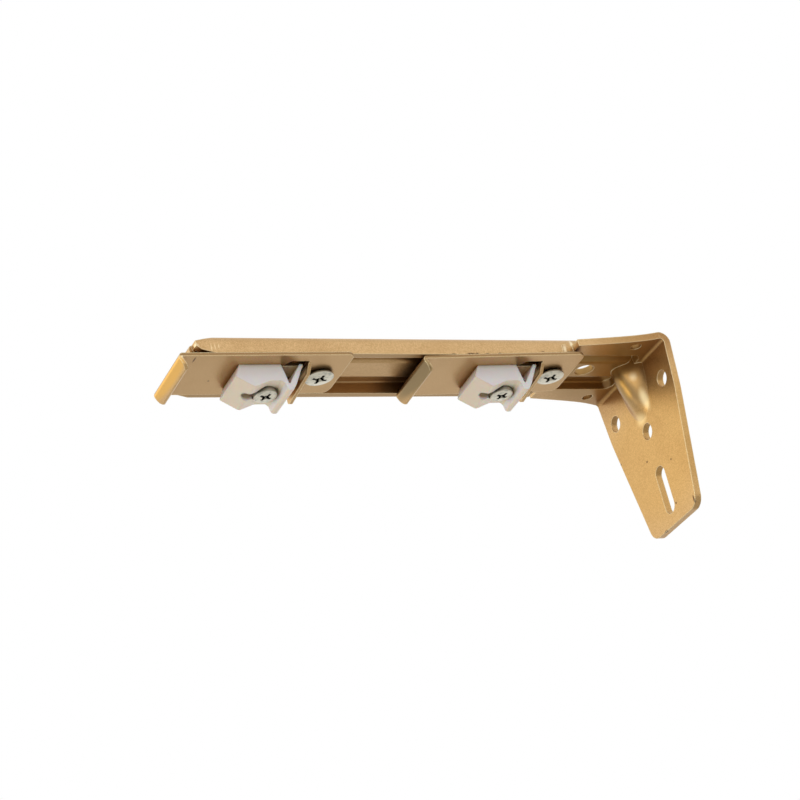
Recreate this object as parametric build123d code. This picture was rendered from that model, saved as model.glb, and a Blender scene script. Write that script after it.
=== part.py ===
from build123d import *
import os
from math import cos, degrees, radians, sin

# Double wall bracket for two curtain rails. Millimetres, +Z up, +X out of the wall.
# Origin: on the wall face, midway between the two upper wall holes.

# Stamped arm and wall leaf, one sheet
sheet = 2.5
arm_top = 17.2
arm_end = 172.4
arm_half_width = 14.55
arm_bend_radius = 3.0
flange_depth = 6.9
flange_start = 36.0
flange_taper_length = 8.2
flange_end_slant = 1.8
flange_end_step = 1.4
flange_end_setback = 1.2
flange_end_radius = 1.0
web_end_half_width = 11.2
droop_length = 9.8
end_droop = 2.6
droop_radius = 14.0
end_round = 1.2
slit_burr_x = 36.6
slit_burr_radius = 0.75
slit_burr_top = 14.1
inner_bend_radius = 0.6

# Stiffening ridge pressed down along the middle of the arm
ridge_depth = 2.15
ridge_half_width = 5.2
ridge_flank = 1.2
ridge_edge_radius = 1.4
ridge_root_radius = 0.8
dent_half_width = 4.6
dent_flank = 2.4
dent_edge_radius = 1.5

# Hat section beside the wall: raised middle, flat flared margins
margin_drop = 3.1
margin_front = 33.2
margin_half_widths = [(9.0, 22.3), (16.0, 20.9), (25.0, 19.6)]
margin_front_half_width = 18.6
crown_start = 2.6
crown_corner_radius = 4.6
pocket_start = 4.2
pocket_corner_radius = 3.3

# Wall leaf
leaf_half_width = 24.0
leaf_kink_drop = 22.9
leaf_kink_half_width = 22.36
leaf_drop = 64.4
leaf_foot_half_width = 14.5
leaf_foot_radius = 4.5
leaf_kink_radius = 30.0
leaf_bend_radius = 1.25
bend_flat = 0.01

# Holes of the arm and the wall leaf
wall_hole_diameter = 5.8
wall_hole_spacing = 33.4
centre_hole_z = -11.75
slot_top_z = -28.4
slot_bottom_z = -40.2
arm_hole_x = 20.9
arm_hole_diameter = 7.0
margin_hole_x = 10.1
margin_hole_half_spacing = 18.0
margin_hole_diameter = 3.75

# Pressed gusset in the inside corner: height off the wall and half width at each depth,
# and the bell shape of each section as shares of half width and height
gusset_depths = [1.6, 5.0, 8.5, 12.0, 16.0, 20.5, 25.5]
gusset_reach = [9.2, 9.4, 9.0, 7.9, 6.4, 4.3, 2.45]
gusset_half_widths = [8.8, 9.4, 9.5, 9.2, 8.4, 7.0, 5.0]
gusset_bell = [(1.0, 0.0), (0.8, 0.14), (0.5, 0.56), (0.24, 0.9), (0.0, 1.0)]
gusset_wall = 2.6
gusset_foot_depth = 0.35
gusset_dent_inset = 2.4

# Rail plates
plate_thickness = 1.2
plate_half_length = 30.65
plate_half_width = 13.25
plate_side_shift = 2.2
plate_far_radius = 4.4
plate_near_radius = 2.4
plate_step_x = 20.3
plate_step = 0.9
plate_step_radius = 0.8
front_plate_setback = 25.0
plate_places = {"front": (arm_end - front_plate_setback, 0.02), "rear": (60.3, 0.05)}

# Hook lip on the outer end of each rail plate
hook_drop = 4.4
hook_lean = 26.0
hook_bend_radius = 1.5
hook_inner_radius = 0.3
hook_tip_radius = 0.45
hook_corner_radius = 3.0
hook_corner_sink = 0.2

# Cross lip lanced out of each rail plate, and its relief
lip_x = -16.0
lip_drop = 4.0
lip_near_drop = 2.4
lip_near_y = 9.3
lip_slant = 4.5
lip_slot_width = 1.1
lip_corner_radius = 1.0
relief_length = 8.5
relief_slant = 2.0
relief_depth = 3.3
relief_radius = 1.5

# Plastic clamp block, a moulding with one section
clamp_near_y = 7.4
clamp_width = 15.8
clamp_front_top = 8.0
clamp_front_foot = 10.0
clamp_front_drop = 4.2
clamp_crest_x = 4.1
clamp_crest_drop = 8.1
clamp_brow_x = -0.3
clamp_brow_drop = 6.5
clamp_brow_run = 1.2
clamp_floor_drop = 6.0
clamp_floor_back = -5.6
clamp_back_run = 0.9
clamp_back_drop = 0.4
clamp_toe_x = -8.0
clamp_toe_drop = 9.5
clamp_toe_front = 1.0
clamp_toe_back = 0.9
clamp_back_top = -6.5
clamp_vee_x = -8.0
clamp_vee_drop = 7.3
leg_thickness = 1.35
leg_top_x = -12.9
leg_foot_offset = 2.4
clamp_slot_end = 6.0
clamp_slot_clearance = 0.15
clamp_pocket_clearance = 0.35
clamp_edge_radius = 0.3
clamp_corner_radius = 0.5
clamp_crest_radius = 1.6
clamp_floor_radius = 0.8
clamp_back_radius = 0.6
clamp_toe_radius = 0.9
leg_foot_radius = 1.0

# Clamp screws, pan head with a cross recess
clamp_screw_x = -2.2
clamp_screw_diameter = 4.0
clamp_head_diameter = 7.9
clamp_head_height = 2.1
clamp_head_dome = 0.3
clamp_shoulder_share = 0.8
clamp_shoulder_rise = 0.6
collar_height = 1.5
collar_wall = 0.9

# Plate screws, flat head with a raised face and a cross recess
plate_screw_x = -22.6
plate_screw_diameter = 5.0
plate_head_diameter = 9.7
plate_head_rim = 0.45
plate_head_dome = 0.55
plate_hole_diameter = 8.0
plate_dome_share = 0.55
plate_dome_rise = 0.3
screw_clearance = 0.03
clamp_tip_chamfer = 0.4
plate_tip_chamfer = 0.5

# Cross recess of the screws
recess_width = 1.0
recess_share = 0.56
recess_depth = 1.5
recess_mouth_share = 0.28
recess_sink = 0.05
clamp_head_turn = 24.0
plate_head_turn = 12.0

plate_top = arm_top - flange_depth
plate_under = plate_top - plate_thickness
flange_end = arm_end - flange_end_setback
flange_taper_start = arm_end - flange_taper_length
droop_start = arm_end - droop_length
over = 1.0


def outline(points, radii):
    """Closed face in the XY plane with the given corner radii."""
    return make_face(FilletPolyline(*points, radius=radii, close=True).edges())


def mirrored(points, radii):
    """Adds the mirror image of a half outline about the second axis."""
    other = [(-x, y) for x, y in reversed(points)]
    return points + other, radii + list(reversed(radii))


def plan_prism(face, low, high):
    """Extrudes a face in X and Y between two heights."""
    return Pos(0, 0, low) * extrude(face, amount=high - low)


def side_prism(face, half_width):
    """Extrudes a face in X and Z to both sides of the middle plane."""
    return extrude(Plane.XZ * face, amount=half_width, both=True)


def front_prism(face, start, end):
    """Extrudes a face in Y and Z along X."""
    return Pos(start, 0, 0) * extrude(Plane.YZ * face, amount=end - start)


def drill(x, y, low, high, diameter):
    """Vertical cutter between two heights."""
    return Pos(x, y, (low + high) / 2) * Cylinder(diameter / 2, high - low)


def arm_section():
    """Outside of the arm in Y and Z: rounded shoulders and the dent over the ridge."""
    foot = arm_top - flange_depth
    half = [
        (arm_half_width, foot),
        (arm_half_width, arm_top),
        (dent_half_width + dent_flank, arm_top),
        (dent_half_width, arm_top - ridge_depth),
    ]
    return outline(*mirrored(half, [0, arm_bend_radius, dent_edge_radius, inner_bend_radius]))


def arm_underside():
    """Cutter section in Y and Z that leaves web, ridge and flanges one sheet thick."""
    inner = arm_half_width - sheet
    web = arm_top - sheet
    low = arm_top - flange_depth - over
    half = [
        (inner, low),
        (inner, web),
        (ridge_half_width + ridge_flank, web),
        (ridge_half_width, web - ridge_depth),
    ]
    radii = [0, inner_bend_radius, ridge_root_radius, ridge_edge_radius]
    return outline(*mirrored(half, radii))


def arm_crown():
    """Arm and raised middle of the hat section, before the underside is cut."""
    plan = outline(
        [
            (crown_start, -arm_half_width),
            (arm_end, -arm_half_width),
            (arm_end, arm_half_width),
            (crown_start, arm_half_width),
        ],
        [crown_corner_radius, 0, 0, crown_corner_radius],
    )
    hat_foot = arm_top - margin_drop - sheet
    foot = arm_top - flange_depth
    side = outline(
        [
            (crown_start, hat_foot),
            (crown_start, arm_top),
            (droop_start, arm_top),
            (arm_end, arm_top - end_droop),
            (arm_end, foot),
            (flange_start, foot),
            (flange_start, hat_foot),
        ],
        [0, arm_bend_radius, droop_radius, end_round, 0, 0, 0],
    )
    crown = front_prism(arm_section(), crown_start - over, arm_end + over)
    crown &= plan_prism(plan, foot - over, arm_top + over)
    return crown & side_prism(side, arm_half_width + over)


def flange_end_cut():
    """Takes the flanges away round the free end and leaves the web standing out."""
    low = arm_top - flange_depth
    web = arm_top - sheet
    face = outline(
        [
            (flange_taper_start, low),
            (flange_end - flange_end_slant, low + flange_end_step),
            (flange_end, low + 2 * flange_end_step),
            (flange_end, arm_top + over),
            (arm_end + over, arm_top + over),
            (arm_end + over, low - over),
            (flange_taper_start, low - over),
        ],
        [0, flange_end_radius, 0, 0, 0, 0, 0],
    )
    cut = side_prism(face, arm_half_width + over)
    keep = Pos((arm_end + flange_taper_start) / 2, 0, web) * Box(
        arm_end, 2 * web_end_half_width, 4 * flange_depth
    )
    return cut - keep


def margins():
    """Flat flared margins beside the raised middle."""
    bend = leaf_bend_radius + sheet
    side = [(bend, leaf_half_width)] + margin_half_widths
    side.append((margin_front, margin_front_half_width))
    edge = Spline(*side)
    other = mirror(edge, Plane.XZ)
    front = Line(edge @ 1, other @ 1)
    back = Line(edge @ 0, other @ 0)
    face = make_face([edge, front, other, back])
    top = arm_top - margin_drop
    return plan_prism(face, top - sheet, top)


def wall_bend():
    """Rounded corner between the margins and the wall leaf."""
    outer = leaf_bend_radius + sheet
    top = arm_top - margin_drop
    face = outline(
        [
            (0, top - outer),
            (0, top),
            (outer, top),
            (outer, top - sheet),
            (sheet, top - sheet),
            (sheet, top - outer),
        ],
        [0, outer - bend_flat, 0, 0, leaf_bend_radius - bend_flat, 0],
    )
    return side_prism(face, leaf_half_width)


def wall_leaf():
    """Tapered leaf that lies on the wall."""
    half = [
        (leaf_half_width, arm_top - margin_drop - leaf_bend_radius - sheet),
        (leaf_kink_half_width, arm_top - leaf_kink_drop),
        (leaf_foot_half_width, arm_top - leaf_drop),
    ]
    return front_prism(outline(*mirrored(half, [0, leaf_kink_radius, leaf_foot_radius])), 0, sheet)


def bump_section(height, reach, half_width, foot):
    """Bell-shaped section of the gusset at one height."""
    side = [(foot + (reach - foot) * rise, half_width * share) for share, rise in gusset_bell]
    other = [(x, -y) for x, y in reversed(side[:-1])]
    crest = Spline(*side, *other)
    back = foot - sheet / 2
    root = Polyline(crest @ 1, (back, -half_width), (back, half_width), crest @ 0)
    return Pos(0, 0, height) * make_face([crest] + root.edges())


def gusset(inset, wall):
    """Body of the gusset; with an inset and a wall it is the dent on the outer side."""
    foot = sheet - gusset_foot_depth - wall
    sections = []
    for depth, reach, half in zip(gusset_depths, gusset_reach, gusset_half_widths):
        sections.append(bump_section(arm_top - depth, reach - wall, half - inset, foot))
    return loft(sections)


def gusset_dent():
    """Dent on the outer side of the gusset, open at the top of the corner."""
    dent = gusset(gusset_dent_inset, gusset_wall)
    top = arm_top - gusset_depths[0]
    mouth = dent.faces().sort_by(Axis.Z)[-1]
    return dent + extrude(mouth, amount=arm_top + over - top, dir=(0, 0, 1))


def slot_cut():
    """Upright slot through the wall leaf."""
    length = slot_top_z - slot_bottom_z
    face = Rot(0, 0, 90) * SlotCenterToCenter(length, wall_hole_diameter)
    middle = (slot_top_z + slot_bottom_z) / 2
    return front_prism(Pos(0, middle) * face, -over, sheet + over)


def wall_holes():
    """Round holes through the wall leaf, on the wall screws' axes."""
    places = [(wall_hole_spacing / 2, 0), (-wall_hole_spacing / 2, 0), (0, centre_hole_z)]
    holes = []
    for y, z in places:
        holes.append(Pos(sheet / 2, y, z) * Rot(0, 90, 0) * Cylinder(wall_hole_diameter / 2, 2 * sheet))
    return holes


def arm_pocket():
    """Cutter for the channel under the arm; its roof sinks with the drooping end."""
    inner = arm_half_width - sheet
    low = arm_top - flange_depth - 2 * over
    start = pocket_start - over
    end = arm_end + over
    web = arm_top - sheet
    fall = end_droop * (end - droop_start) / (arm_end - droop_start)
    plan = outline(
        [(pocket_start, -inner), (end, -inner), (end, inner), (pocket_start, inner)],
        [pocket_corner_radius, 0, 0, pocket_corner_radius],
    )
    side = Polyline(
        (start, low),
        (start, arm_top),
        (droop_start, arm_top),
        (droop_start, web),
        (end, web - fall),
        (end, low),
        close=True,
    )
    pocket = front_prism(arm_underside(), start, end)
    pocket &= plan_prism(plan, low, arm_top)
    return pocket & side_prism(make_face(side.edges()), arm_half_width)


def slit_burrs():
    """Rolled burrs at the wall end of both flanges."""
    foot = arm_top - flange_depth
    height = slit_burr_top - foot
    burr = Cylinder(slit_burr_radius, height)
    middle = foot + height / 2
    return [Pos(slit_burr_x, side * arm_half_width, middle) * burr for side in (-1, 1)]


def arm_holes():
    """Holes through the arm, with the threaded holes of the plate screws."""
    low = arm_top - flange_depth
    holes = [drill(arm_hole_x, 0, low, arm_top, arm_hole_diameter)]
    for side in (-1, 1):
        y = side * margin_hole_half_spacing
        holes.append(drill(margin_hole_x, y, low, arm_top, margin_hole_diameter))
    for place in plate_places.values():
        x, y = on_plate(place, plate_screw_x, 0)
        holes.append(drill(x, y, low, arm_top, plate_screw_diameter + 2 * screw_clearance))
    return holes


def arm_bracket():
    """Arm and wall leaf, stamped and folded from one sheet."""
    body = arm_crown() + margins() + wall_bend() + wall_leaf()
    body -= arm_pocket()
    body -= flange_end_cut()
    body += slit_burrs()
    body += gusset(0, 0)
    body -= gusset_dent()
    body -= slot_cut()
    body -= wall_holes()
    body -= arm_holes()
    return body


def on_plate(place, x, y):
    """Point of a rail plate in the bracket's frame."""
    centre, turn = place
    return (
        centre + x * cos(turn) + y * sin(turn),
        plate_side_shift - x * sin(turn) + y * cos(turn),
    )


def set_on_arm(place, piece):
    """Moves a piece drawn under a plate's centre to its place under the arm."""
    centre, turn = place
    return Pos(centre, plate_side_shift, plate_under) * Rot(0, 0, -degrees(turn)) * piece


def plate_blank():
    """Rail plate with its hook lip, drawn with the underside at height zero."""
    lean = radians(hook_lean)
    corner_x = plate_half_length + plate_thickness * sin(lean)
    fall = hook_drop + plate_thickness
    tip_x = corner_x - fall * sin(lean) / cos(lean)
    in_x = plate_thickness * cos(lean)
    in_z = plate_thickness * sin(lean)
    inner_x = tip_x - in_x + (hook_drop - in_z) * sin(lean) / cos(lean)
    face = outline(
        [
            (-plate_half_length, 0),
            (-plate_half_length, plate_thickness),
            (corner_x, plate_thickness),
            (tip_x, -hook_drop),
            (tip_x - in_x, -hook_drop + in_z),
            (inner_x, 0),
        ],
        [0, 0, hook_bend_radius, hook_tip_radius, hook_tip_radius, hook_inner_radius],
    )
    return side_prism(face, plate_half_width)


def plate_outline():
    """Plan of a rail plate: rounded wall end, stepped far edge beside the hook."""
    far = -plate_half_width
    end = plate_half_length + plate_thickness
    points = [
        (-plate_half_length, plate_half_width),
        (-plate_half_length, far),
        (plate_step_x, far),
        (plate_step_x + 2 * plate_step, far + plate_step),
        (end, far + plate_step),
        (end, plate_half_width),
    ]
    step = plate_step_radius
    return outline(points, [plate_near_radius, plate_far_radius, step, step, 0, 0])


def hook_outline():
    """End view of the hook lip with its rounded corners, in Y and Z."""
    far = -plate_half_width + plate_step
    points = [
        (far, plate_thickness + over),
        (far, -hook_drop - hook_corner_sink),
        (plate_half_width, -hook_drop - hook_corner_sink),
        (plate_half_width, plate_thickness + over),
    ]
    return outline(points, [0, hook_corner_radius, hook_corner_radius, 0])


def lip_slot():
    """Narrow slot in front of the cross lip, opening into a relief at its near end."""
    far = -plate_half_width - over
    low = lip_near_y - relief_depth
    front = lip_x + lip_slot_width
    end = lip_x + relief_length
    face = outline(
        [
            (lip_x, far),
            (lip_x, lip_near_y),
            (end - relief_slant, lip_near_y),
            (end, low),
            (front, low),
            (front, far),
        ],
        [0, 0, relief_radius, 0, 0, 0],
    )
    return plan_prism(face, -over, plate_thickness + over)


def cross_lip():
    """Lip folded down along the wall side of the slot, slanting at its near end."""
    far = -plate_half_width
    face = outline(
        [
            (far, plate_thickness),
            (far, -lip_drop),
            (lip_near_y - lip_slant, -lip_near_drop),
            (lip_near_y, plate_thickness),
        ],
        [0, lip_corner_radius, lip_corner_radius, 0],
    )
    return front_prism(face, lip_x - plate_thickness, lip_x)


def thread_collar():
    """Collar drawn up round the clamp screw's thread."""
    radius = clamp_screw_diameter / 2 + collar_wall
    height = collar_height + plate_thickness
    return Pos(clamp_screw_x, 0, height / 2) * Cylinder(radius, height)


def rail_plate():
    """Thin plate under the arm that carries one rail."""
    plan = plan_prism(plate_outline(), -hook_drop - over, plate_thickness + over)
    body = plate_blank() & plan
    body &= front_prism(hook_outline(), -plate_half_length - over, plate_half_length + 2 * over)
    body -= lip_slot()
    body += cross_lip()
    body += thread_collar()
    thread = clamp_screw_diameter + 2 * screw_clearance
    body -= drill(clamp_screw_x, 0, -over, collar_height + plate_thickness + over, thread)
    body -= drill(plate_screw_x, 0, -over, plate_thickness + over, plate_hole_diameter)
    return body


def clamp_section():
    """Section of the clamp block in X and Z, hanging from the plate's underside."""
    leg_foot_x = clamp_vee_x - leg_foot_offset
    points = [
        (clamp_back_top, 0),
        (clamp_front_top, 0),
        (clamp_front_foot, -clamp_front_drop),
        (clamp_crest_x, -clamp_crest_drop),
        (clamp_brow_x, -clamp_brow_drop),
        (clamp_brow_x - clamp_brow_run, -clamp_floor_drop),
        (clamp_floor_back, -clamp_floor_drop),
        (clamp_floor_back - clamp_back_run, -clamp_brow_drop - clamp_back_drop),
        (clamp_toe_x + clamp_toe_front, -clamp_toe_drop),
        (clamp_toe_x - clamp_toe_back, -clamp_toe_drop),
        (leg_foot_x, -clamp_vee_drop),
        (leg_top_x - leg_thickness, 0),
        (leg_top_x, 0),
        (clamp_vee_x, -clamp_vee_drop),
    ]
    edge = clamp_edge_radius
    radii = [edge, edge, clamp_corner_radius, clamp_crest_radius, clamp_corner_radius]
    radii += [clamp_floor_radius, clamp_floor_radius, clamp_back_radius]
    radii += [clamp_toe_radius, clamp_toe_radius, leg_foot_radius, edge, edge, edge]
    return outline(points, radii)


def clamp_block():
    """Plastic clamp block with its sprung leg, screw slot and head pocket."""
    near = clamp_near_y
    body = extrude(Plane.XZ * clamp_section(), amount=clamp_width)
    body = Pos(0, near, 0) * body
    slot_width = clamp_screw_diameter + 2 * clamp_slot_clearance
    slot_length = clamp_slot_end - clamp_screw_x - slot_width / 2
    slot_face = Pos(clamp_screw_x + slot_length / 2, 0) * SlotCenterToCenter(slot_length, slot_width)
    body -= plan_prism(slot_face, -clamp_toe_drop - over, over)
    pocket = clamp_head_diameter + 2 * clamp_pocket_clearance
    body -= drill(clamp_screw_x, 0, -clamp_toe_drop - over, -clamp_floor_drop, pocket)
    return body


def cross_recess(diameter, face_z, turn):
    """Cross recess cut into a head's face, wider at its mouth."""
    length = diameter * recess_share
    arm = Box(length, recess_width, recess_depth) + Box(recess_width, length, recess_depth)
    cone = Cone(length * recess_mouth_share, recess_width / 2, recess_depth)
    cutter = Pos(0, 0, face_z + recess_depth / 2) * Rot(0, 0, turn) * (arm + cone)
    return cutter


def clamp_screw():
    """Pan head screw through the clamp block's slot into the plate's collar."""
    seat = -clamp_floor_drop
    face = seat - clamp_head_height
    radius = clamp_head_diameter / 2
    shank = clamp_screw_diameter / 2
    tip = plate_thickness + collar_height
    chamfer = clamp_tip_chamfer
    profile = Plane.XZ * make_face(
        [
            Line((0, tip), (shank - chamfer, tip)),
            Line((shank - chamfer, tip), (shank, tip - chamfer)),
            Line((shank, tip - chamfer), (shank, seat)),
            Line((shank, seat), (radius, seat)),
            Line((radius, seat), (radius, face + 2 * clamp_head_dome)),
            Spline(
                (radius, face + 2 * clamp_head_dome),
                (radius * clamp_shoulder_share, face + clamp_shoulder_rise * clamp_head_dome),
                (0, face),
                tangents=[(0, -1), (-1, 0)],
            ),
            Line((0, face), (0, tip)),
        ]
    )
    body = revolve(profile, Axis.Z)
    body -= cross_recess(clamp_head_diameter, face - recess_sink, clamp_head_turn)
    return Pos(clamp_screw_x, 0, 0) * body


def plate_screw():
    """Flat head screw that ties a rail plate to the arm's ridge."""
    radius = plate_head_diameter / 2
    hole = plate_hole_diameter / 2
    shank = plate_screw_diameter / 2
    rim_top = -(radius - hole) - screw_clearance
    rim_foot = rim_top - plate_head_rim
    face = rim_foot - plate_head_dome
    throat = rim_top + radius - shank
    tip = plate_thickness + flange_depth - ridge_depth
    chamfer = plate_tip_chamfer
    profile = Plane.XZ * make_face(
        [
            Line((0, tip), (shank - chamfer, tip)),
            Line((shank - chamfer, tip), (shank, tip - chamfer)),
            Line((shank, tip - chamfer), (shank, throat)),
            Line((shank, throat), (radius, rim_top)),
            Line((radius, rim_top), (radius, rim_foot)),
            ThreePointArc(
                (radius, rim_foot),
                (radius * plate_dome_share, face + plate_dome_rise * plate_head_dome),
                (0, face),
            ),
            Line((0, face), (0, tip)),
        ]
    )
    body = revolve(profile, Axis.Z)
    body -= cross_recess(plate_head_diameter, face - recess_sink, plate_head_turn)
    return Pos(plate_screw_x, 0, 0) * body


def build():
    """Every piece of the bracket under its own name."""
    pieces = {"arm_bracket": arm_bracket()}
    for name, place in plate_places.items():
        pieces["rail_plate_" + name] = set_on_arm(place, rail_plate())
        pieces["clamp_block_" + name] = set_on_arm(place, clamp_block())
        pieces["clamp_screw_" + name] = set_on_arm(place, clamp_screw())
        pieces["plate_screw_" + name] = set_on_arm(place, plate_screw())
    return pieces


os.makedirs("parts", exist_ok=True)
for name, piece in build().items():
    export_step(piece, "parts/" + name + ".step")
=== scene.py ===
import math

import bpy
from mathutils import Euler, Matrix, Vector

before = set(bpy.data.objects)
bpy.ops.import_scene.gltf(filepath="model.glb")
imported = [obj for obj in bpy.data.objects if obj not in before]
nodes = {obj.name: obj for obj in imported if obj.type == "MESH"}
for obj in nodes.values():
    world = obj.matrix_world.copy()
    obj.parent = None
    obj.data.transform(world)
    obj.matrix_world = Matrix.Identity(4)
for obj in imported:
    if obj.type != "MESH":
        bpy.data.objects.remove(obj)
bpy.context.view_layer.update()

# Arm and wall leaf: one blank of 2.5 mm steel sheet, stamped, pressed, folded and then sprayed
# with a gold-bronze metallic paint. Its flakes give a fine speckle, painted shade darkens the inside
# corners, edges are pale from wear and a painted highlight, and handling has left chips on the near
# flange and the leaf.
MM = 0.001


def linear(hex_colour):
    """Linear colour of an sRGB hex value."""
    values = [int(hex_colour[i:i + 2], 16) / 255 for i in (0, 2, 4)]
    return [v / 12.92 if v <= 0.04045 else ((v + 0.055) / 1.055) ** 2.4 for v in values] + [1]


def set_up(node, settings):
    """Sets properties and inputs of a node; an output given for an input is linked to it."""
    for name, value in settings.items():
        if isinstance(name, str) and hasattr(node, name):
            setattr(node, name, value)
        elif isinstance(value, bpy.types.NodeSocket):
            node.id_data.links.new(value, node.inputs[name])
        else:
            node.inputs[name].default_value = value
    return node


def add_node(tree, kind, settings):
    """Adds a node with its settings and links."""
    return set_up(tree.nodes.new(kind), settings)


def start_material(name):
    """New material, with its tree and its shader."""
    made = bpy.data.materials.new(name)
    made.use_nodes = True
    return made, made.node_tree, made.node_tree.nodes["Principled BSDF"]


def assign(material, *names):
    """Gives CAD pieces their material."""
    for name in names:
        mesh = nodes[name].data
        mesh.materials.clear()
        mesh.materials.append(material)


def lay_tone(tree, coat, tone, value, start, full, blend="MIX", most=1.0):
    """Lays a tone over a coat, none where the value is at start and most where it is at full."""
    share = add_node(tree, "ShaderNodeMapRange", {
        "interpolation_type": "SMOOTHSTEP", "Value": value,
        "From Min": start, "From Max": full, "To Max": most,
    })
    mix = add_node(tree, "ShaderNodeMix", {
        "data_type": "RGBA", "blend_type": blend,
        0: share.outputs["Result"], 6: coat, 7: linear(tone),
    })
    return mix.outputs[2]


def lay_marks(tree, place, coat, marks):
    """Lays marks over a coat: a tone, its solid share of each oval, its blend, and the ovals."""
    for tone, core, blend, ovals in marks:
        for centre, radii in ovals:
            moved = add_node(tree, "ShaderNodeVectorMath", {
                "operation": "MULTIPLY_ADD", 0: place,
                1: [1 / (r * MM) for r in radii], 2: [-c / r for c, r in zip(centre, radii)],
            })
            reach = add_node(tree, "ShaderNodeVectorMath", {
                "operation": "LENGTH", 0: moved.outputs[0],
            })
            coat = lay_tone(tree, coat, tone, reach.outputs["Value"], 1.0, core, blend)
    return coat


def spray_gold(name, corner_shade_tone, marks, marks_over_corner_shade, *pieces):
    """Gold-bronze paint with painted shade in the inside corners; the second list of marks lies over
    that shade.
    """
    gold, tree, shader = start_material(name)
    place = add_node(tree, "ShaderNodeTexCoord", {}).outputs["Object"]
    # Real flakes are under 0.05 mm. They are drawn as coarse as they need to be to show.
    flake_size, cloud_size = 0.29412 * MM, 11.111 * MM
    flakes = add_node(tree, "ShaderNodeTexNoise", {
        "Scale": 1 / flake_size, "Detail": 1.0, "Vector": place,
    }).outputs["Fac"]
    clouds = add_node(tree, "ShaderNodeTexNoise", {
        "Scale": 1 / cloud_size, "Detail": 3.0, "Vector": place,
    }).outputs["Fac"]
    coat = lay_tone(tree, linear("C09C69"), "D7B281", flakes, 0.3, 0.7)
    coat = lay_tone(tree, coat, "E8E0D6", clouds, 0.45, 0.7, "MULTIPLY", most=0.3)
    coat = lay_marks(tree, place, coat, marks)
    # Painted shade: ambient occlusion darkens the coat towards the corner tone in inside corners and
    # hollows.
    corner_reach = 10 * MM
    corner = add_node(tree, "ShaderNodeAmbientOcclusion", {"samples": 8, "Distance": corner_reach})
    coat = lay_tone(tree, coat, corner_shade_tone, corner.outputs["AO"], 0.72, 0.15, "MULTIPLY")
    coat = lay_marks(tree, place, coat, marks_over_corner_shade)
    # Beyond the margins, the sheared edges at the plates' height, 9.1 to 10.3 mm, are darker: partly
    # the duller sheared metal, partly painted shade on these down-facing edges.
    lower_limits, upper_limits = (9.15 * MM, 9.4 * MM), (10.4 * MM, 10.2 * MM)
    spot = add_node(tree, "ShaderNodeSeparateXYZ", {"Vector": place})
    band = 1.0
    for start, full in (lower_limits, upper_limits):
        band = add_node(tree, "ShaderNodeMapRange", {
            "interpolation_type": "SMOOTHSTEP", "Value": spot.outputs["Z"],
            "From Min": start, "From Max": full, "To Max": band,
        }).outputs["Result"]
    margin_end, band_start = 20 * MM, 25 * MM
    coat = lay_tone(tree, coat, "9A7A52", spot.outputs["X"], margin_end, band_start, most=band)
    # A pale tone lies where the rounded normal leans away from the flat one, so along every edge:
    # partly worn paint, partly a painted highlight on the rounded edges.
    wear_and_highlight_width, edge_round, speckle_depth = 0.5 * MM, 0.35 * MM, 0.1 * MM
    broad = add_node(tree, "ShaderNodeBevel", {"samples": 4, "Radius": wear_and_highlight_width})
    flat = add_node(tree, "ShaderNodeNewGeometry", {})
    facing = add_node(tree, "ShaderNodeVectorMath", {
        "operation": "DOT_PRODUCT", 0: flat.outputs["Normal"], 1: broad.outputs["Normal"],
    })
    coat = lay_tone(tree, coat, "FFEDBE", facing.outputs["Value"], 0.998, 0.88, most=0.85)
    rounded = add_node(tree, "ShaderNodeBevel", {"samples": 4, "Radius": edge_round})
    speckle = add_node(tree, "ShaderNodeBump", {
        "Strength": 0.06, "Distance": speckle_depth, "Height": flakes,
        "Normal": rounded.outputs["Normal"],
    })
    set_up(shader, {
        "Base Color": coat, "Normal": speckle.outputs["Normal"], "Metallic": 0.85, "Roughness": 0.33,
    })
    assign(gold, *pieces)


# Marks are ovals, each with its centre and its radii in millimetres from the wall origin.
flange_chips = [
    ((79.9, 14.6, 10.5), (1.2, 1.0, 0.25)),
    ((73.3, 14.6, 10.65), (2.2, 1.0, 0.4)),
    ((71.0, 14.6, 10.7), (0.8, 1.0, 0.4)),
    ((67.1, 14.6, 10.7), (1.0, 1.0, 0.22)),
    ((62.3, 14.6, 10.75), (1.0, 1.0, 0.4)),
    ((45.4, 14.6, 11.6), (0.9, 1.0, 0.2)),
]
leaf_chips = [
    ((2.5, -20.6, -14.2), (0.8, 0.6, 0.5)),
    ((2.5, -5.3, -20.9), (0.8, 0.6, 0.5)),
    ((2.5, 8.3, -26.8), (0.8, 0.5, 0.5)),
    ((2.5, 3.8, -41.2), (0.8, 0.5, 0.6)),
    ((2.5, 14.0, -44.9), (0.9, 0.6, 2.2)),
    ((2.5, -6.3, -47.2), (0.9, 1.5, 0.6)),
]
# Painted highlights on the slit's burr, the margin's cut end beside it, and the web's free end.
painted_highlights_on_burr_and_web_end = [
    ((36.7, 14.6, 12.3), (1.0, 1.2, 2.4)),
    ((33.3, 15.8, 14.6), (1.0, 3.4, 3.4)),
    ((171.6, 13.6, 13.0), (2.0, 2.0, 1.6)),
]
# Painted highlights on the wrinkles near the flange's free end.
painted_highlights_on_end_wrinkles = [
    ((166.2, 14.6, 12.3), (0.4, 1.0, 2.0)),
    ((164.9, 14.6, 12.6), (0.35, 1.0, 1.8)),
    ((163.6, 14.6, 12.9), (0.35, 1.0, 1.5)),
]
# Painted light on the gusset's tongue.
painted_light_on_tongue = [((8.0, 1.6, 6.0), (2.0, 1.7, 3.4)), ((6.8, 1.4, 3.0), (2.0, 1.9, 4.2))]
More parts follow.
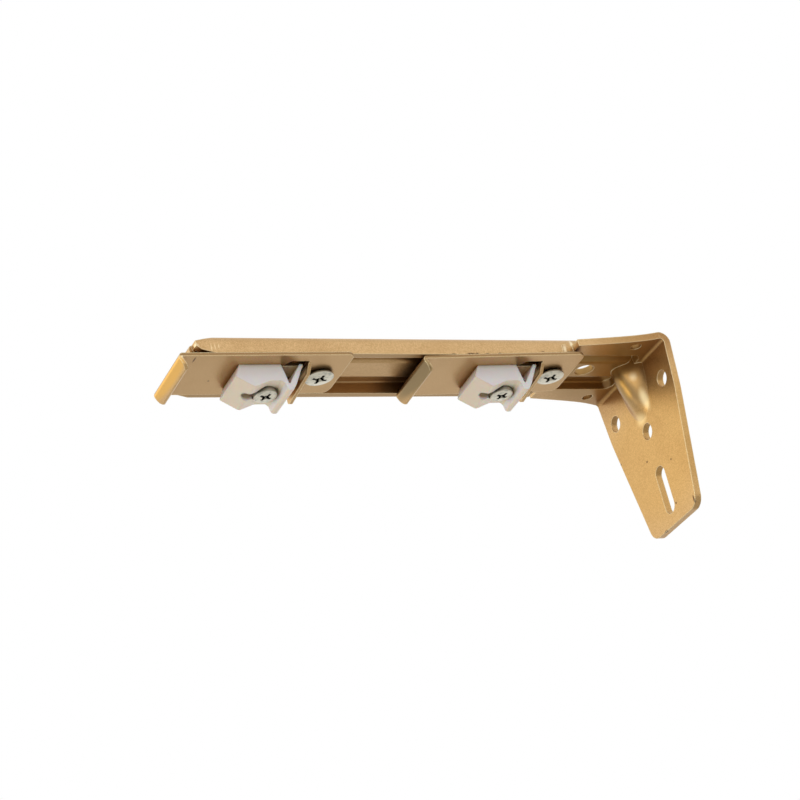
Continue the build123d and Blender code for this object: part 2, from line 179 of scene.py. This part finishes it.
# These three tones are painted shade: by the fold, on the rear hook and under the wall end.
# They reach from the arm onto the rail plates, or from a plate onto the arm.
painted_shade_by_fold = ("B4976A", 0.0, "MULTIPLY", [((0.0, 0.0, 15.0), (34.0, 60.0, 17.0))])
painted_shade_on_rear_hook = ("97815C", 0.6, "MIX", [((91.0, 2.0, 5.5), (3.0, 24.0, 6.0))])
painted_shade_under_wall_end = ("A9854F", 0.5, "MIX", [((14.0, 0.0, 13.5), (26.0, 26.0, 7.0))])
arm_marks = [
    # Painted light: the leaf is tinted a little warmer and darker than the arm, standing in for the
    # warmer light it gets.
    ("FFF8DE", 0.5, "MULTIPLY", [((0.0, 0.0, -20.0), (8.0, 50.0, 36.0))]),
    ("66482C", 0.35, "MIX", flange_chips + leaf_chips),
    # Painted shade by the fold, then painted highlights on the burr, the web's end and the end
    # wrinkles.
    painted_shade_by_fold,
    ("FFF1CE", 0.2, "MIX", painted_highlights_on_burr_and_web_end),
    ("EBCF9E", 0.0, "MIX", painted_highlights_on_end_wrinkles),
    # Painted shade: the whole gusset is toned duller and browner, damping the lamps' highlight on
    # it.
    ("AA8A5A", 0.2, "MIX", [((6.0, 2.0, 5.0), (8.0, 12.0, 11.0))]),
    # Painted shade on the rear hook, reaching the flange edge beside it.
    painted_shade_on_rear_hook,
    # Painted light on the gusset: a pale highlight on top, the lit golden tongue, a bright streak
    # and lighter gold below.
    ("C8B490", 0.1, "MIX", [((5.3, 5.1, 7.4), (2.0, 2.0, 2.6))]),
    ("D2A65C", 0.1, "MIX", painted_light_on_tongue),
    ("FFE8B4", 0.1, "MIX", [((3.2, 5.0, -1.6), (2.6, 2.5, 5.8))]),
    ("F6D59A", 0.1, "MIX", [((2.9, -1.2, -6.4), (3.0, 4.5, 3.4))]),
]
arm_marks_over_corner_shade = [
    # Painted shade under the wall end, over the corner shade.
    painted_shade_under_wall_end,
    # A pale worn place lies on the rim where the channel's side ends by the wall.
    ("D9C4A0", 0.5, "MIX", [((5.2, -11.4, 13.4), (1.8, 2.4, 2.2))]),
]
spray_gold("gold_paint_arm", "A5814A", arm_marks, arm_marks_over_corner_shade, "arm_bracket")

# Rail plates: two equal stampings of thin steel sheet with a hook lip, a lanced cross lip and a
# relief beside it, sprayed with the same paint. Painted light makes the front hook shine yellow,
# painted shade dulls the rear one, and the front plate has a speck, a scratch and a painted
# highlight on its bend.
plate_chips = [
    ((162.1, -1.3, 9.1), (0.45, 0.45, 0.6)),
    ((171.9, 12.4, 9.1), (0.35, 2.3, 0.5)),
    ((174.2, 8.7, 9.1), (0.5, 0.5, 0.5)),
]
plate_marks = [
    ("66482C", 0.35, "MIX", plate_chips),
    # Painted shade by the fold.
    painted_shade_by_fold,
    # A painted highlight on the front hook's bend, painted light on the front hook's face, and
    # painted shade on the rear hook.
    ("FFF1CE", 0.2, "MIX", [((177.3, 14.2, 8.9), (1.6, 1.8, 1.4))]),
    ("E4B25C", 0.6, "MIX", [((178.0, 2.0, 6.0), (2.2, 24.0, 6.0))]),
    painted_shade_on_rear_hook,
]
# The white clamps throw light back onto the relief and onto the sheet beside it.
lit_by_clamps = [
    ((131.5, 4.5, 9.0), (3.0, 5.0, 2.5)),
    ((44.4, 4.5, 9.0), (3.0, 5.0, 2.5)),
    ((136.6, 5.5, 9.1), (4.0, 7.0, 1.5)),
    ((49.5, 5.5, 9.1), (4.0, 7.0, 1.5)),
]
# Painted shade under the wall end, then the painted light from the clamps.
plate_marks_over_corner_shade = [painted_shade_under_wall_end, ("FFF0D0", 0.5, "MIX", lit_by_clamps)]
spray_gold("gold_paint_plates", "C2A070", plate_marks, plate_marks_over_corner_shade,
           "rail_plate_front", "rail_plate_rear")

# Clamp blocks: moulded white plastic, most likely nylon, each held up under its plate by one
# screw. The mould leaves a satin skin that lets a little light in, the lower faces are painted
# creamier as painted warm bounce light, and painted shade makes the hollows and the screw's slot
# beige.
white, tree, shader = start_material("white_plastic")
mould_radius, pocket_reach, glow_depth = 0.6 * MM, 3 * MM, 2 * MM
rounded = add_node(tree, "ShaderNodeBevel", {"samples": 4, "Radius": mould_radius})
facing = add_node(tree, "ShaderNodeSeparateXYZ", {"Vector": rounded.outputs["Normal"]})
# Painted warm bounce light: faces turned down are tinted creamier.
skin = lay_tone(tree, linear("F2F0F3"), "F7E8D4", facing.outputs["Z"], -0.1, -0.6)
# Painted shade: hollows darken to beige by ambient occlusion.
pocket = add_node(tree, "ShaderNodeAmbientOcclusion", {"samples": 8, "Distance": pocket_reach})
skin = lay_tone(tree, skin, "C3A880", pocket.outputs["AO"], 0.75, 0.25)
place = add_node(tree, "ShaderNodeTexCoord", {}).outputs["Object"]
# Painted shade in the screws' slots.
slots = [((150.8, 0.0, 3.6), (3.4, 2.6, 2.2)), ((63.6, 0.0, 3.6), (3.4, 2.6, 2.2))]
skin = lay_marks(tree, place, skin, [("D2BC98", 0.5, "MIX", slots)])
set_up(shader, {
    "Base Color": skin, "Normal": rounded.outputs["Normal"], "Roughness": 0.4,
    "Subsurface Weight": 0.4, "Subsurface Scale": glow_depth,
})
assign(white, "clamp_block_front", "clamp_block_rear")

# Screws: cold-formed steel with a cross recess, zinc plated, with the faintly green cast of the
# passivation. The plating is blotchy, painted shade greys the heads' sides and fills the recesses,
# and each plate screw has a dark patch beside its cross.
zinc, tree, shader = start_material("zinc_steel")
blotch_size, recess_reach, head_round = 1.42857 * MM, 2 * MM, 0.25 * MM
place = add_node(tree, "ShaderNodeTexCoord", {}).outputs["Object"]
blotches = add_node(tree, "ShaderNodeTexNoise", {
    "Scale": 1 / blotch_size, "Detail": 3.0, "Vector": place,
})
plating = lay_tone(tree, linear("E9E4D2"), "C0C0B4", blotches.outputs["Fac"], 0.45, 0.7)
surface = add_node(tree, "ShaderNodeNewGeometry", {})
facing = add_node(tree, "ShaderNodeSeparateXYZ", {"Vector": surface.outputs["Normal"]})
# Painted shade: the heads' sides, turned away from straight down, are greyer.
plating = lay_tone(tree, plating, "A9A699", facing.outputs["Z"], -0.8, -0.3)
# A dark patch beside each plate screw's cross.
dark_patches_by_cross = [((124.8, 3.4, 7.4), (1.6, 1.0, 1.0)), ((37.7, 4.2, 7.4), (1.6, 1.2, 1.0))]
plating = lay_marks(tree, place, plating, [("6E766E", 0.2, "MIX", dark_patches_by_cross)])
# Painted shade: the recesses darken by ambient occlusion.
recess = add_node(tree, "ShaderNodeAmbientOcclusion", {"samples": 8, "Distance": recess_reach})
plating = lay_tone(tree, plating, "1E221A", recess.outputs["AO"], 0.95, 0.3)
rounded = add_node(tree, "ShaderNodeBevel", {"samples": 4, "Radius": head_round})
set_up(shader, {
    "Base Color": plating, "Normal": rounded.outputs["Normal"], "Metallic": 0.7, "Roughness": 0.32,
})
assign(zinc, "clamp_screw_front", "clamp_screw_rear", "plate_screw_front", "plate_screw_rear")

# Studio floor: a wide pale sheet of matt paper. The bracket would hang on a wall, so the floor
# lies far below it and shows only from above.
floor_size, floor_height = 6.0, -0.55
bpy.ops.object.select_all(action="DESELECT")
bpy.ops.mesh.primitive_plane_add(size=floor_size, location=(0, 0, floor_height))
floor = bpy.context.active_object
floor.name = "floor"
paper, tree, shader = start_material("paper")
set_up(shader, {"Base Color": linear("E9E8E6"), "Roughness": 0.9})
floor.data.materials.append(paper)

# Surroundings: an even white. The camera and the metal see it at full white, and it lights the
# pieces a little less than that.
world = bpy.data.worlds.new("studio")
bpy.context.scene.world = world
world.use_nodes = True
tree = world.node_tree
surround = set_up(tree.nodes["Background"], {"Color": linear("FFFFFF"), "Strength": 0.64})
seen = add_node(tree, "ShaderNodeBackground", {"Color": linear("FFFFFF"), "Strength": 1.0})
path = add_node(tree, "ShaderNodeLightPath", {})
direct = path.outputs["Is Camera Ray"]
for ray in ("Is Glossy Ray", "Is Transmission Ray"):
    direct = add_node(tree, "ShaderNodeMath", {
        "operation": "MAXIMUM", 0: direct, 1: path.outputs[ray],
    }).outputs[0]
both = add_node(tree, "ShaderNodeMixShader", {
    0: direct, 1: surround.outputs[0], 2: seen.outputs[0],
})
set_up(tree.nodes["World Output"], {"Surface": both.outputs[0]})

# Lamps: soft square panels, each with its place, the point it faces, its side in metres, its
# power in watts and its tone.
lamps = [
    ("back_top", (0.9, -1.0, 0.42), (0.08, 0.0, 0.0), 0.7, 0.16, "FFEFB0"),
    ("back_end", (0.47, -0.37, 0.18), (0.178, 0.0, 0.006), 0.2, 0.1, "FFEFA0"),
    ("back_low", (0.5, -0.7, -0.5), (0.0, 0.0, -0.02), 0.4, 0.3, "FFF6C5"),
    ("beside", (1.0, 0.85, 0.0), (0.05, 0.0, 0.0), 0.35, 1.3, "FFF2D8"),
    ("front_low", (1.0, -0.22, -0.08), (0.0, 0.0, 0.0), 0.3, 0.5, "FFF2D8"),
    ("side", (-0.12, 1.0, 0.4), (0.08, 0.0, 0.0), 1.1, 0.5, "FFFFFF"),
    ("under", (-0.4, -0.8, -0.42), (0.1, 0.0, 0.0), 0.7, 0.4, "FFFFFF"),
]
for name, stand, target, side, power, tone in lamps:
    panel = bpy.data.lights.new(name, "AREA")
    panel.size = side
    panel.energy = power
    panel.color = linear(tone)[:3]
    lamp = bpy.data.objects.new(name, panel)
    bpy.context.scene.collection.objects.link(lamp)
    lamp.location = stand
    lamp.rotation_euler = (Vector(target) - Vector(stand)).to_track_quat("-Z", "Y").to_euler()

# Camera: at the photograph's angle, below the bracket and beyond its free end, on the near side.
# Its place in metres, its angles in degrees and its lens were fitted to the photograph.
camera_place = Vector((0.457035, 0.611914, -0.330093))
camera_turn = Euler([math.radians(angle) for angle in (-64.3111, 167.0596, -24.4119)])
lens = bpy.data.cameras.new("camera")
lens.sensor_width = 36.0
lens.lens = 106.81
lens.clip_start = 0.05
lens.clip_end = 20.0
camera = bpy.data.objects.new("camera", lens)
bpy.context.scene.collection.objects.link(camera)
camera.matrix_world = Matrix.LocRotScale(camera_place, camera_turn, None)
bpy.context.scene.camera = camera
bpy.context.scene.view_settings.view_transform = "Standard"
